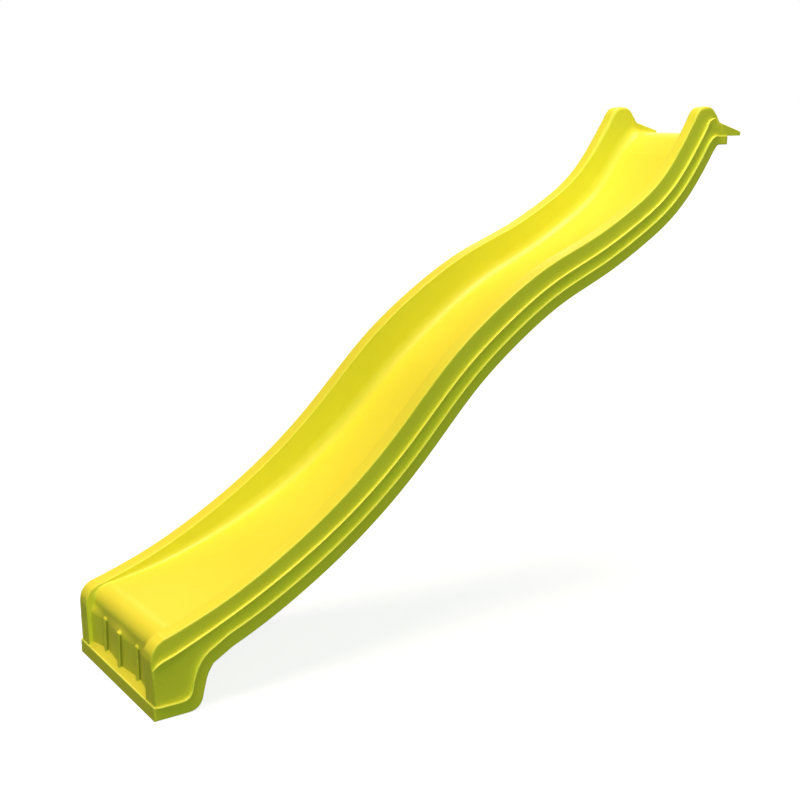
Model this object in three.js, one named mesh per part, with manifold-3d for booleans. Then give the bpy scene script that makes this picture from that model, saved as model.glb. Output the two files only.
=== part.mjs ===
// A wavy playground slide: one hollow polyethylene body made of two skins, and the screws that hold
// its top end to a platform. Millimetres, +Z up. The slide runs along Y: its foot points to -Y and its
// top end to +Y. The origin is on the underside of the top tongue, midway along the part of it that
// lies on the platform. The shape is first drawn in slide coordinates, with y = 0 at the front of the
// foot and z = 0 on the ground, and then the whole group is moved.
import * as THREE from 'three';
import { mergeVertices } from 'three/addons/utils/BufferGeometryUtils.js';
import Module from 'manifold-3d';

const wasm = await Module();
wasm.setup();

// Overall sizes
const PLATFORM_HEIGHT = 1450;
const TOTAL_LENGTH = 2098;
const BASE_HEIGHT = 37.6;
const SKIN = 3.5;
const GAP = 0.3;

// Widths: the rims come closer together from the foot to the top
const RIM_HALF_WIDTH_FOOT = 261;
const RIM_NARROWING = 0.0246;
const RIM_INNER_RATIO = 0.797;
const LEDGE_STEP = 4.2;

// Side view of the rim line from foot to ear, as [y, z]
const RIM_WAVE = [
  [0, 201], [200, 273], [400, 377], [580, 498], [760, 655], [930, 827],
  [1110, 969], [1300, 1081], [1480, 1156], [1640, 1239], [1780, 1348], [1900, 1515],
];
const RIM_START = 47;
const RIM_END = 1868;

// Free curves of the side view, as [y, z]: front of the shoulder, lip behind the pillars, heel and ear
const SHOULDER_NOSE = [[0, 160], [4, 181], [17, 201], [36, 214]];
const PILLAR_TOP = [[0, 116], [2, 136], [10, 146], [24, 156]];
const LIP_CURVE = [[83, 38], [101, 51], [111, 83], [126, 122], [147, 149], [176, 168], [220, 193]];
const HEEL_RISE = [[171, 118], [155.5, 92], [147, 65], [140, 38]];
const HEEL_TURN = [[140, 38], [133, 0], [96, 0]];
const EAR_RISE = [[1888, 1497], [1902, 1521], [1916, 1535], [1934, 1540]];
const EAR_FALL = [[1958, 1540], [1973, 1534], [1986, 1518]];
const EAR_FOOT = [2003, 1491];
const EAR_LEDGE = [[1935, 1472], [1947, 1492], [1962, 1502], [1986, 1507]];
const HOOK_LEDGE = [[1940, 1418], [1958, 1440], [1975, 1450]];
const FIN_TIP_HEIGHT = 1463;

// Depths below the rim line, square to it, as [y, depth]
const LEDGE_1_DEPTH = [[45, 50], [200, 43], [400, 45], [700, 52], [1300, 51], [1600, 47], [1850, 52]];
const LEDGE_2_DEPTH = [[200, 82], [400, 86], [800, 92], [1300, 88], [1600, 83], [1850, 87]];
const BOTTOM_DEPTH = [[200, 124], [800, 130], [1300, 126], [1600, 121], [1850, 123]];
const BED_DEPTH = [[79, 13], [340, 55], [600, 92], [900, 112], [1200, 107], [1500, 92], [1850, 90]];

// Sliding channel
const WALL_DRAFT = 0.12;
const MAX_FILLET = 40;
const FILLET_SHARE = 0.42;
const FILLET_STEPS = 5;
const CHANNEL_CLEARANCE = 70;
const FRONT_ROLL_RADIUS = 50;
const PANEL_DEPTH = 24;
const TONGUE_THICKNESS = 5.5;
const STATION_STEP = 45;

// Ribs on the front of the foot
const RIB_SPACING = 115.5;
const RIB_WIDTH = 19;
const RIB_TOP = 152;
const RIB_BOTTOM = 44;
const SHELF_BACK_HEIGHT = 57;
const PANEL_SIDE_Y = 14;
const PANEL_CENTRE_Y = 16;
const SIDE_RIB_Y = 17;
const CENTRE_RIB_Y = 11;
const RIB_ABOVE_PANEL = 4;
const PANEL_REACH = 8;

// Cut that clears the sloping shelf at the bottom of the foot's face
const SHELF_FRONT_Y = 1;
const SHELF_CUT_TOP = 90;
const SHELF_CUT_FRONT_Y = -5;
const SHELF_SIDE_INSET = 2;

// Hook block under the tongue, which stands against the edge of the platform
const HOOK_BACK_Y = 2034;
const HOOK_HEIGHT = 27;
const ORIGIN_Y = (HOOK_BACK_Y + TOTAL_LENGTH) / 2;

// Underside pan
const PAN_HALF_WIDTH = 140;
const PAN_SLOPE = 12;
const PAN_RISE = 8;
const PAN_START = 230;
const PAN_END = 1900;
const PAN_FADE = 60;

// How far the hollow runs out through the open underside of the upper skin
const OPEN_BELOW = 12;

// Platform screws, sunk flush in round pockets of the tongue so that they can't catch clothing
const SCREW_X = [-95, -35, 35, 95];
const SCREW_HOLE_RADIUS = 4.9;
const SCREW_RADIUS = 2.6;
const SCREW_LENGTH = 45;
const SCREW_POINT = 8;
const SCREW_HEAD_RADIUS = 6;
const POCKET_RADIUS = 10.6;
const POCKET_DEPTH = 2;
const WASHER_RADIUS = 10;
const WASHER_THICKNESS = 1.3;
const WASHER_HOLE_TOP = 6.45;
const WASHER_HOLE_BOTTOM = 5.15;
const DRIVE_RADIUS = 2;
const DRIVE_DEPTH = 2.2;
const ROUND_SIDES = 16;

// Where the wave's lines end below the ears, and the crest of the bed between the ears
const LEDGE_END = 1845;
const BED_START = 80;
const BED_END = 1850;
const CREST_CONTROL_Y = 1978;
const CREST_END_Y = 2020;
const CREST_DEPTH = 88;
const PAST_THE_END = 12;
const HOOK_FRONT_Y = 1990;

// Edges where one band hides behind the next, and where the lowest band's lines leave the foot
const BAND_OVERLAP = 12;
const HIDDEN_TOP_Y = 1985;
const HIDDEN_END = 1840;
const UPPER_BAND_FRONT_Z = 100;
const UPPER_BAND_START = 60;
const MIDDLE_BAND_FRONT_Z = 25;
const MIDDLE_BAND_START = 225;
const MIDDLE_BAND_FOOT = [[125, 60], [95, 25]];
const LEDGE_1_START = 45;
const LEDGE_2_START = 228;
const BOTTOM_START = 180;

// Finish of the plastic and of the zinc plate
const OUTER_ROUGHNESS = 0.38;
const UNDERSIDE_ROUGHNESS = 0.5;
const ZINC_ROUGHNESS = 0.35;

const yellow = new THREE.Color(0xfeed43);
const shadedYellow = new THREE.Color(0xf2df3a);
const zinc = new THREE.Color(0xc4c7c9);

// Half width of the slide at the rim's outer edge
function rimHalfWidth(y) {
  return RIM_HALF_WIDTH_FOOT - RIM_NARROWING * y;
}

// Natural cubic curve through [x, value] pairs, as a function that gives value and slope
function smoothCurve(pairs) {
  const count = pairs.length;
  const bend = new Array(count).fill(0);
  const helper = new Array(count).fill(0);
  for (let i = 1; i < count - 1; i += 1) {
    const before = pairs[i][0] - pairs[i - 1][0];
    const after = pairs[i + 1][0] - pairs[i][0];
    const share = before / (before + after);
    const pivot = share * bend[i - 1] + 2;
    bend[i] = (share - 1) / pivot;
    const turn = (pairs[i + 1][1] - pairs[i][1]) / after - (pairs[i][1] - pairs[i - 1][1]) / before;
    helper[i] = ((6 * turn) / (before + after) - share * helper[i - 1]) / pivot;
  }
  bend[count - 1] = 0;
  for (let i = count - 2; i >= 0; i -= 1) {
    bend[i] = bend[i] * bend[i + 1] + helper[i];
  }
  return (x) => {
    const inside = Math.min(Math.max(x, pairs[0][0]), pairs[count - 1][0]);
    let k = 0;
    while (k < count - 2 && inside > pairs[k + 1][0]) {
      k += 1;
    }
    const span = pairs[k + 1][0] - pairs[k][0];
    const a = (pairs[k + 1][0] - inside) / span;
    const b = (inside - pairs[k][0]) / span;
    const cubic = ((a ** 3 - a) * bend[k] + (b ** 3 - b) * bend[k + 1]) * (span ** 2 / 6);
    const steep = ((3 * b * b - 1) * bend[k + 1] - (3 * a * a - 1) * bend[k]) * (span / 6);
    return {
      value: a * pairs[k][1] + b * pairs[k + 1][1] + cubic,
      slope: (pairs[k + 1][1] - pairs[k][1]) / span + steep,
    };
  };
}

const rimHeight = smoothCurve(RIM_WAVE);
const ledge1Depth = smoothCurve(LEDGE_1_DEPTH);
const ledge2Depth = smoothCurve(LEDGE_2_DEPTH);
const bottomDepth = smoothCurve(BOTTOM_DEPTH);
const bedDepth = smoothCurve(BED_DEPTH);

// Point at a depth below the rim line, square to it
function belowRim(y, depth) {
  const rim = rimHeight(y);
  const angle = Math.atan(rim.slope);
  return [y + depth * Math.sin(angle), rim.value - depth * Math.cos(angle)];
}

// Points of a line that follows the rim at a changing depth
function followRim(from, to, depthCurve, extra = 0) {
  const steps = Math.ceil(Math.abs(to - from) / (STATION_STEP * 0.75));
  const points = [];
  for (let i = 0; i <= steps; i += 1) {
    const y = from + ((to - from) * i) / steps;
    const depth = depthCurve ? depthCurve(y).value : 0;
    points.push(belowRim(y, depth + extra));
  }
  return points;
}

// Curved stretch through a few [y, z] points
function bend(points, divisions) {
  const curve = new THREE.SplineCurve(points.map(([y, z]) => new THREE.Vector2(y, z)));
  return curve.getPoints(divisions).map((p) => [p.x, p.y]);
}

// Top outline of the ears and the fins behind them, from the rim line to the tongue's rear edge
const earOutline = [
  ...bend(EAR_RISE, 6),
  ...bend(EAR_FALL, 4),
  EAR_FOOT,
  [TOTAL_LENGTH, FIN_TIP_HEIGHT],
];

// Outline of the upper band, which carries the rims and the ears
function upperBand() {
  return [
    [0, UPPER_BAND_FRONT_Z],
    ...bend(SHOULDER_NOSE, 6),
    ...followRim(RIM_START, RIM_END, null),
    ...earOutline,
    [TOTAL_LENGTH, PLATFORM_HEIGHT],
    [HIDDEN_TOP_Y, PLATFORM_HEIGHT],
    ...followRim(HIDDEN_END, UPPER_BAND_START, ledge1Depth, BAND_OVERLAP),
  ];
}

// Outline of the middle band, between the first ledge and the tongue's underside
function middleBand() {
  return [
    [0, MIDDLE_BAND_FRONT_Z],
    ...bend(PILLAR_TOP, 5),
    ...followRim(LEDGE_1_START, LEDGE_END, ledge1Depth),
    ...bend(EAR_LEDGE, 5),
    EAR_FOOT,
    [TOTAL_LENGTH, FIN_TIP_HEIGHT],
    [TOTAL_LENGTH, PLATFORM_HEIGHT],
    [HIDDEN_TOP_Y, PLATFORM_HEIGHT],
    ...followRim(HIDDEN_END, MIDDLE_BAND_START, ledge2Depth, BAND_OVERLAP),
    ...MIDDLE_BAND_FOOT,
  ];
}

// Rear of the foot, from the start of the underside down to the ground
function heelLine() {
  const [start, control, end] = HEEL_TURN.map(([y, z]) => new THREE.Vector2(y, z));
  const heel = new THREE.QuadraticBezierCurve(start, control, end).getPoints(7);
  const rise = bend(HEEL_RISE, 6);
  return [...rise, ...heel.slice(1).map((p) => [p.x, p.y])];
}

// Line along the lowest edge of the body, from the hook block down to the front of the foot
function bottomLine(extra) {
  const lower = PLATFORM_HEIGHT - HOOK_HEIGHT - extra;
  return [
    [HOOK_BACK_Y, lower],
    [HOOK_FRONT_Y + extra, lower],
    ...followRim(RIM_END, BOTTOM_START, bottomDepth, extra),
    ...heelLine().map(([y, z]) => [y + extra, z - extra]),
    [0, -extra],
  ];
}

// Outline of the lowest band, with the base of the foot and the hook block
function lowerBand(extra = 0) {
  return [
    [0, BASE_HEIGHT],
    ...bend(LIP_CURVE, 12),
    ...followRim(LEDGE_2_START, LEDGE_END, ledge2Depth),
    ...bend(HOOK_LEDGE, 3),
    [HOOK_BACK_Y, PLATFORM_HEIGHT],
    ...bottomLine(extra),
  ];
}

// Moves a closed outline inwards
function inset(outline, distance) {
  const points = outline.map(([y, z]) => new THREE.Vector2(y, z));
  const sign = THREE.ShapeUtils.isClockWise(points) ? 1 : -1;
  return points.map((point, i) => {
    const before = points[(i + points.length - 1) % points.length];
    const after = points[(i + 1) % points.length];
    const first = point.clone().sub(before).normalize();
    const second = after.clone().sub(point).normalize();
    const normal = new THREE.Vector2(first.y + second.y, -first.x - second.x).multiplyScalar(sign);
    const stretch = Math.max(normal.length() / 2, 0.4);
    normal.normalize().multiplyScalar(distance / stretch);
    return [point.x + normal.x, point.y + normal.y];
  });
}

// Solid across the slide with the given side outline and a half width that depends on y
function acrossSlide(outline, halfWidth) {
  const shape = new THREE.Shape(outline.map(([y, z]) => new THREE.Vector2(y, z)));
  const geometry = new THREE.ExtrudeGeometry(shape, { depth: 2, bevelEnabled: false, steps: 1 });
  const position = geometry.attributes.position;
  for (let i = 0; i < position.count; i += 1) {
    const y = position.getX(i);
    const z = position.getY(i);
    const side = position.getZ(i) - 1;
    position.setXYZ(i, side * halfWidth(y), y, z);
  }
  return geometry;
}

// Ring of [x, height] points set square to the line at a station
function placeRing(ring, station, along) {
  return ring.map(([x, h]) => {
    const point = new THREE.Vector3(x, station.y - h * along.y, station.z + h * along.x);
    point.height = h;
    return point;
  });
}

// Unit direction of a line of stations at one of them
function directionAt(line, i) {
  const before = line[Math.max(i - 1, 0)];
  const after = line[Math.min(i + 1, line.length - 1)];
  return new THREE.Vector2(after.y - before.y, after.z - before.z).normalize();
}

// Closed skin over rings of points, with a flat face at each end. Each ring runs anticlockwise
// in x and height, and the rings follow one another towards the top of the slide.
function loft(rings) {
  const size = rings[0].length;
  const positions = rings.flat().flatMap((p) => [p.x, p.y, p.z]);
  const index = [];
  for (let r = 0; r < rings.length - 1; r += 1) {
    for (let i = 0; i < size; i += 1) {
      const a = r * size + i;
      const b = r * size + ((i + 1) % size);
      index.push(a, b + size, b, a, a + size, b + size);
    }
  }
  const last = (rings.length - 1) * size;
  const endOutline = rings[0].map((p) => new THREE.Vector2(p.x, p.height));
  for (const [a, b, c] of THREE.ShapeUtils.triangulateShape(endOutline, [])) {
    index.push(a, b, c);
    index.push(last + c, last + b, last + a);
  }
  const geometry = new THREE.BufferGeometry();
  geometry.setAttribute('position', new THREE.Float32BufferAttribute(positions, 3));
  geometry.setIndex(index);
  return geometry;
}

function toSolid(geometry) {
  const bare = geometry.clone();
  bare.deleteAttribute('normal');
  bare.deleteAttribute('uv');
  const merged = mergeVertices(bare, 1e-4);
  const mesh = new wasm.Mesh({
    numProp: 3,
    vertProperties: new Float32Array(merged.attributes.position.array),
    triVerts: new Uint32Array(merged.index.array),
  });
  return new wasm.Manifold(mesh);
}

function toGeometry(solid) {
  const mesh = solid.getMesh();
  const geometry = new THREE.BufferGeometry();
  geometry.setAttribute('position', new THREE.BufferAttribute(mesh.vertProperties, 3));
  geometry.setIndex(new THREE.BufferAttribute(mesh.triVerts, 1));
  geometry.computeVertexNormals();
  return geometry;
}

// Side line of the bed: up the front panel, over the rolled lip, along the wave and over the crest
function bedLine() {
  const lipDepth = bedDepth(BED_START).value;
  const lip = belowRim(BED_START, lipDepth);
  const line = [{ y: PANEL_DEPTH, z: SHELF_BACK_HEIGHT, depth: PANEL_DEPTH }];
  const rollSteps = 7;
  for (let i = 0; i < rollSteps; i += 1) {
    const angle = (Math.PI / 2) * (i / rollSteps);
    const y = PANEL_DEPTH + FRONT_ROLL_RADIUS * (1 - Math.cos(angle));
    const z = lip[1] - 1 - FRONT_ROLL_RADIUS * (1 - Math.sin(angle));
    line.push({ y, z, depth: THREE.MathUtils.lerp(PANEL_DEPTH, lipDepth, i / rollSteps) });
  }
  const steps = Math.round((BED_END - BED_START) / STATION_STEP);
  for (let i = 0; i <= steps; i += 1) {
    const s = BED_START + ((BED_END - BED_START) * i) / steps;
    const depth = bedDepth(s).value;
    const [y, z] = belowRim(s, depth);
    line.push({ y, z, depth });
  }
  const top = PLATFORM_HEIGHT + TONGUE_THICKNESS;
  const [startY, startZ] = [line.at(-1).y, line.at(-1).z];
  const crest = new THREE.QuadraticBezierCurve(
    new THREE.Vector2(startY, startZ),
    new THREE.Vector2(CREST_CONTROL_Y, top),
    new THREE.Vector2(CREST_END_Y, top),
  );
  for (const p of crest.getPoints(8).slice(1)) {
    line.push({ y: p.x, z: p.y, depth: CREST_DEPTH });
  }
  line.push({ y: TOTAL_LENGTH + PAST_THE_END, z: top, depth: CREST_DEPTH });
  return line;
}

// Space between the side walls. The same shape made larger by the skin clears the hollow beneath it.
function channel(grow) {
  const line = bedLine();
  const rings = line.map((station, i) => {
    const along = directionAt(line, i);
    const inner = RIM_INNER_RATIO * rimHalfWidth(station.y) + grow;
    const wall = (h) => inner - WALL_DRAFT * (station.depth - h);
    const fillet = Math.min(MAX_FILLET, FILLET_SHARE * station.depth);
    const top = station.depth + CHANNEL_CLEARANCE;
    const half = [[wall(top), top]];
    for (let k = 0; k <= FILLET_STEPS; k += 1) {
      const angle = (Math.PI / 2) * (k / FILLET_STEPS);
      const x = wall(fillet) - fillet * (1 - Math.cos(angle));
      const h = fillet * (1 - Math.sin(angle)) - grow * Math.sin(angle);
      half.push([x, h]);
    }
    const ring = [...half.map(([x, h]) => [-x, h]), ...half.reverse()];
    return placeRing(ring, station, along);
  });
  return toSolid(loft(rings));
}

// Face of the foot between its two corner pillars: a shallow W in plan with a rib on each fold
function footFrontFill() {
  const half = RIM_INNER_RATIO * rimHalfWidth(0) + PANEL_REACH;
  const back = PANEL_DEPTH + SKIN / 2;
  const plan = [
    [-half, back], [-half, PANEL_SIDE_Y], [-RIB_SPACING, PANEL_DEPTH - 1], [0, PANEL_CENTRE_Y],
    [RIB_SPACING, PANEL_DEPTH - 1], [half, PANEL_SIDE_Y], [half, back],
  ];
  const shape = new THREE.Shape(plan.map(([x, y]) => new THREE.Vector2(x, y)));
  const panel = new THREE.ExtrudeGeometry(shape, { depth: RIB_TOP - RIB_BOTTOM, bevelEnabled: false });
  panel.translate(0, 0, RIB_BOTTOM);
  let fill = toSolid(panel);
  for (const side of [-1, 0, 1]) {
    const front = side === 0 ? CENTRE_RIB_Y : SIDE_RIB_Y;
    const depth = back - front;
    const height = RIB_TOP - RIB_BOTTOM + RIB_ABOVE_PANEL;
    const rib = new THREE.BoxGeometry(RIB_WIDTH, depth, height);
    rib.translate(side * RIB_SPACING, front + depth / 2, RIB_BOTTOM + height / 2);
    fill = fill.add(toSolid(rib));
  }
  return fill;
}

// Sloping shelf at the bottom of the foot's face, between the pillars
function footShelfCut(grow) {
  const back = PANEL_DEPTH + grow;
  const low = BASE_HEIGHT - grow;
  const outline = [
    [SHELF_CUT_FRONT_Y, low],
    [SHELF_FRONT_Y, low],
    [back, SHELF_BACK_HEIGHT - grow],
    [back, SHELF_CUT_TOP],
    [SHELF_CUT_FRONT_Y, SHELF_CUT_TOP],
  ];
  return toSolid(acrossSlide(outline, () => RIM_INNER_RATIO * rimHalfWidth(0) - SHELF_SIDE_INSET + grow));
}

function screwHoles() {
  const drill = (x, radius, bottom) => {
    const height = 2 * TONGUE_THICKNESS;
    const hole = new THREE.CylinderGeometry(radius, radius, height, ROUND_SIDES);
    hole.rotateX(Math.PI / 2);
    hole.translate(x, ORIGIN_Y, bottom + height / 2);
    return toSolid(hole);
  };
  const pocketFloor = PLATFORM_HEIGHT + TONGUE_THICKNESS - POCKET_DEPTH;
  const holes = SCREW_X.flatMap((x) => [
    drill(x, SCREW_HOLE_RADIUS, PLATFORM_HEIGHT - TONGUE_THICKNESS),
    drill(x, POCKET_RADIUS, pocketFloor),
  ]);
  return holes.reduce((all, hole) => all.add(hole));
}

function bandSolid(outline, step, skin) {
  return toSolid(acrossSlide(inset(outline, skin), (y) => rimHalfWidth(y) + step * LEDGE_STEP - skin));
}

// The upper skin: bed, side walls, rims, ears, stepped sides, foot, tongue and hook block, open below
function upperSkin() {
  const outside = bandSolid(upperBand(), 0, 0)
    .add(bandSolid(middleBand(), 1, 0))
    .add(bandSolid(lowerBand(), 2, 0));
  const hollow = bandSolid(upperBand(), 0, SKIN)
    .add(bandSolid(middleBand(), 1, SKIN))
    .add(bandSolid(lowerBand(OPEN_BELOW), 2, SKIN))
    .subtract(channel(SKIN))
    .subtract(footShelfCut(SKIN));
  return outside
    .subtract(channel(0))
    .subtract(footShelfCut(0))
    .add(footFrontFill())
    .subtract(hollow)
    .subtract(screwHoles());
}

// The underside skin: a sheet along the lowest edges, with a raised pan down its middle
function undersideSkin() {
  const front = SKIN + GAP;
  const rear = HOOK_BACK_Y - SKIN - GAP;
  const line = bottomLine(0).reverse().map(([y, z]) => ({ y: THREE.MathUtils.clamp(y, front, rear), z }));
  const rings = line.map((station, i) => {
    const along = directionAt(line, i);
    const edge = rimHalfWidth(station.y) + 2 * LEDGE_STEP - SKIN - GAP;
    const fadeIn = THREE.MathUtils.smoothstep(station.y, PAN_START, PAN_START + PAN_FADE);
    const fadeOut = THREE.MathUtils.smoothstep(station.y, PAN_END - PAN_FADE, PAN_END);
    const rise = PAN_RISE * (fadeIn - fadeOut);
    const right = [[edge, 0], [PAN_HALF_WIDTH + PAN_SLOPE, 0], [PAN_HALF_WIDTH, rise]];
    const lower = [...right.map(([x, h]) => [-x, h]), ...[...right].reverse()];
    const upper = [...lower].reverse().map(([x, h]) => [x, h + SKIN]);
    return placeRing([...lower, ...upper], station, along);
  });
  return toSolid(loft(rings));
}

// Ring that closes on itself, or solid that starts and ends on the axis, turned round Z
function turned(profile) {
  const geometry = new THREE.LatheGeometry(profile.map(([r, z]) => new THREE.Vector2(r, z)), ROUND_SIDES);
  geometry.rotateX(Math.PI / 2);
  return geometry;
}

// Washer with a coned hole, lying flat with its underside at z = 0
function washer() {
  return turned([
    [WASHER_HOLE_BOTTOM, 0],
    [WASHER_RADIUS, 0],
    [WASHER_RADIUS, WASHER_THICKNESS],
    [WASHER_HOLE_TOP, WASHER_THICKNESS],
    [WASHER_HOLE_BOTTOM, 0],
  ]);
}

// Countersunk screw pointing down, with the top of its head at z = 0
function screw() {
  return turned([
    [0, -SCREW_LENGTH],
    [SCREW_RADIUS, SCREW_POINT - SCREW_LENGTH],
    [SCREW_RADIUS, SCREW_RADIUS - SCREW_HEAD_RADIUS],
    [SCREW_HEAD_RADIUS, 0],
    [DRIVE_RADIUS, 0],
    [DRIVE_RADIUS, -DRIVE_DEPTH],
    [0, -DRIVE_DEPTH],
  ]);
}

function namedMesh(name, geometry, color, roughness, metalness) {
  const mesh = new THREE.Mesh(geometry, new THREE.MeshStandardMaterial({ color, roughness, metalness }));
  mesh.name = name;
  return mesh;
}

const slide = new THREE.Group();
slide.position.set(0, -ORIGIN_Y, -PLATFORM_HEIGHT);
slide.add(namedMesh('upper_skin', toGeometry(upperSkin()), yellow, OUTER_ROUGHNESS, 0));
slide.add(namedMesh('underside_skin', toGeometry(undersideSkin()), shadedYellow, UNDERSIDE_ROUGHNESS, 0));

SCREW_X.forEach((x, i) => {
  const washerBottom = PLATFORM_HEIGHT + TONGUE_THICKNESS - POCKET_DEPTH + GAP;
  const ring = namedMesh(`tongue_washer_${i + 1}`, washer(), zinc, ZINC_ROUGHNESS, 1);
  ring.position.set(x, ORIGIN_Y, washerBottom);
  slide.add(ring);
  const bolt = namedMesh(`tongue_screw_${i + 1}`, screw(), zinc, ZINC_ROUGHNESS, 1);
  bolt.position.set(x, ORIGIN_Y, washerBottom + WASHER_THICKNESS);
  slide.add(bolt);
});

export default slide;
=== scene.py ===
"""Looks of a wavy playground slide: two polyethylene skins and the screws of its top tongue.

Metres, +Z up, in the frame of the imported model. The shape is drawn in slide coordinates in millimetres,
with y = 0 at the front of the foot and z = 0 on the ground, and every point is then moved to the frame.
"""
import math

import bmesh
import bpy
import numpy as np
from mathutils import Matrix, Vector


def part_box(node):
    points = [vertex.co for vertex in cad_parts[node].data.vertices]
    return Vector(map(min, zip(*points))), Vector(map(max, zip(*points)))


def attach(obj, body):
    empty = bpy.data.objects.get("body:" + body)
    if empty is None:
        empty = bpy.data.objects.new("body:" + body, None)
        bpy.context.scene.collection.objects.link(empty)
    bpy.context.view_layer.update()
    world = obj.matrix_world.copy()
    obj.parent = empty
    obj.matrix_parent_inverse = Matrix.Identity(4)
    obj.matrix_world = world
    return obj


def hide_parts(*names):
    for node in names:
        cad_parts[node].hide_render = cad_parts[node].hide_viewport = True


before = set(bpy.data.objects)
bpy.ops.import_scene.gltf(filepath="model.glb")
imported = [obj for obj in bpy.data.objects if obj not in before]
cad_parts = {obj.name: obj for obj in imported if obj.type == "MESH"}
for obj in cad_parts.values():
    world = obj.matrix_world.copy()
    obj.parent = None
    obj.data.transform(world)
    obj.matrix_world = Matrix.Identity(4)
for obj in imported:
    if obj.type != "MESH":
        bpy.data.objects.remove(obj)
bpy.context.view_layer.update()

# ---------------------------------------------------------------- sizes, in millimetres
skin_low, skin_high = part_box("upper_skin")
ORIGIN_Y = round(-skin_low.y * 1000, 1)
PLATFORM_Z = round(-skin_low.z * 1000, 1)
LENGTH = round((skin_high.y - skin_low.y) * 1000, 1)
HALF_WIDTH_AT_FOOT = 261.0
TAPER = 0.0246
BASE_Z = 37.6
LEDGE_STEP = 4.2
HOOK_BACK_Y = 2034.0
HOOK_Z = 1423.0
TONGUE_TOP_Z = 1455.5
SKIN = 3.5
DRAWN_SKIN = 2.4
GAP = 0.3

# Height of the rim at places along the slide, and how far below the rim the other lines run there
RIM_WAVE = [(0, 201), (200, 273), (400, 377), (580, 498), (760, 655), (930, 827),
            (1110, 969), (1300, 1081), (1480, 1156), (1640, 1239), (1780, 1348), (1900, 1515)]
LEDGE_1 = [(45, 50), (200, 43), (400, 45), (700, 52), (1300, 51), (1600, 47), (1850, 52)]
LEDGE_2 = [(200, 82), (400, 86), (800, 92), (1300, 88), (1600, 83), (1850, 87)]
BOTTOM = [(200, 124), (800, 130), (1300, 126), (1600, 121), (1850, 123)]
BED = [(79, 13), (340, 55), (600, 92), (900, 112), (1200, 107), (1500, 92), (1850, 90)]

# Roundings and the like
BASE_EDGE = 1.5
RIM_OUTER_ROUND = 4.5
RIM_INNER_ROUND = 5.0
EAR_OUTER_EXTRA = 4.5
EAR_INNER_ROUND = 13.0
LEDGE_ROUND = 2.6
LEDGE_CREASE = 1.1
LEDGE_SPREAD = 5.0
LEAN_REACH = 40.0
BOTTOM_ROUND = 2.6
HOOK_ROUND = LEDGE_STEP - LEDGE_ROUND
FIN_ROUND = 2.5
TONGUE_ROUND = 1.6
LIP_SETBACK = 3.2
WALL_DRAFT = 0.12
INNER_RATIO = 0.797
MAX_FILLET = 40.0
FILLET_SHARE = 0.42

# Front of the foot: a shelf, a panel with three ribs, and a roll over to the bed
ROLL_RADIUS = 50.0
PANEL_Y = 24.0
PANEL_TOP_Z = 116.0
PANEL_MIDDLE_Z = 60.0
PANEL_HALF = 202.5
WALL_START_X = 150.0
SHELF_RISE = 0.81
SHELF_ROWS = 8
RIB_SPACING = 115.5
RIB_HALF = 8.0
RIB_FOOT_HALF = 10.5
RIB_TOP_Z = 152.0
RIB_TOP_SOFT = 7.0
RIB_LEAN = 0.02
SIDE_RIB_Y = 16.0
CENTRE_RIB_Y = 10.5
# The panel's shallow W in plan: places across it and their y
PANEL_PLAN = ([0, RIB_SPACING, 206], [16.5, PANEL_Y - 0.5, 14.0])
# Places across the foot panel where the surface has a line of points
PANEL_X = [0, 4, RIB_HALF, 9.2, RIB_FOOT_HALF, 14, 30, 50, 70, 90, 101, RIB_SPACING - RIB_FOOT_HALF,
           RIB_SPACING - 9.2, RIB_SPACING - RIB_HALF, RIB_SPACING, RIB_SPACING + RIB_HALF, RIB_SPACING + 9.2,
           RIB_SPACING + RIB_FOOT_HALF, 131, 148, 165, 181, PANEL_HALF]
FRONT_FILLET, FRONT_TURN = 3.0, 2.5

# Ramps for rising(), as (start, length)
FOLDS_GO = (134, 34)
STEP_GOES, STEP_COMES_BACK = (1966, 24), (1994, 26)
EAR_TURN_COMES, EAR_ROUND_COMES = (1720, 150), (1880, 50)
LEAN_1_COMES, LEAN_2_COMES = (0, 14), (0, 20)
PAN_COMES, PAN_GOES = (230, 60), (1840, 60)
# Painted shade on the pillars' front corners fades out, and the painted highlight on the rim's outer edge
# comes in, as the rim rises
PILLAR_SHADE_GOES, RIM_HIGHLIGHT_COMES = (90, 60), (150, 60)
# Ramps for falling(), as (end, length)
EAR_ROUND_GOES, LEAN_1_GOES, LEAN_2_GOES = (1990, 20), (1982, 50), (2010, 40)
PAN_EDGE = (154, 18)

# ---------------------------------------------------------------- columns of a half section
# Points of each part of the section, from the middle of the bed out to the lower edge
FILLET_POINTS, WALL_POINTS, TURN_POINTS = 8, 4, 6
RIM_POINTS, ROUND_POINTS = 4, 6
FIRST_FLANK_POINTS, FLANK_POINTS = 3, 8
CREASE_POINTS, LEDGE_POINTS, BOTTOM_POINTS = 3, 6, 5

TURN_START = len(PANEL_X) + FILLET_POINTS + WALL_POINTS
ROUND_START = TURN_START + TURN_POINTS + RIM_POINTS
LEDGE_1_START = ROUND_START + ROUND_POINTS + FIRST_FLANK_POINTS + CREASE_POINTS
FLANK_2_START = LEDGE_1_START + LEDGE_POINTS
FLANK_2_END = FLANK_2_START + FLANK_POINTS
LEDGE_2_START = FLANK_2_END + CREASE_POINTS
LAST_ROUND = ROUND_START + ROUND_POINTS - 1
# Columns that run down the sides of the ribs, and those beside them, which get painted shade
RIB_SIDE_COLUMNS = (3, 4, 11, 12, 16, 17)
RIB_SIDE_FADE_COLUMNS = (5, 10, 18)
# Painted light: above 0 where edges and ledges get a painted highlight, below 0 where rib sides and pillar
# corners get painted shade
PAINTED_HIGHLIGHT, PAINTED_INNER_HIGHLIGHT, PAINTED_RIM_HIGHLIGHT = 1.0, 0.25, 0.2
PAINTED_SHADE, PAINTED_HALF_SHADE = -1.0, -0.4

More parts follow.
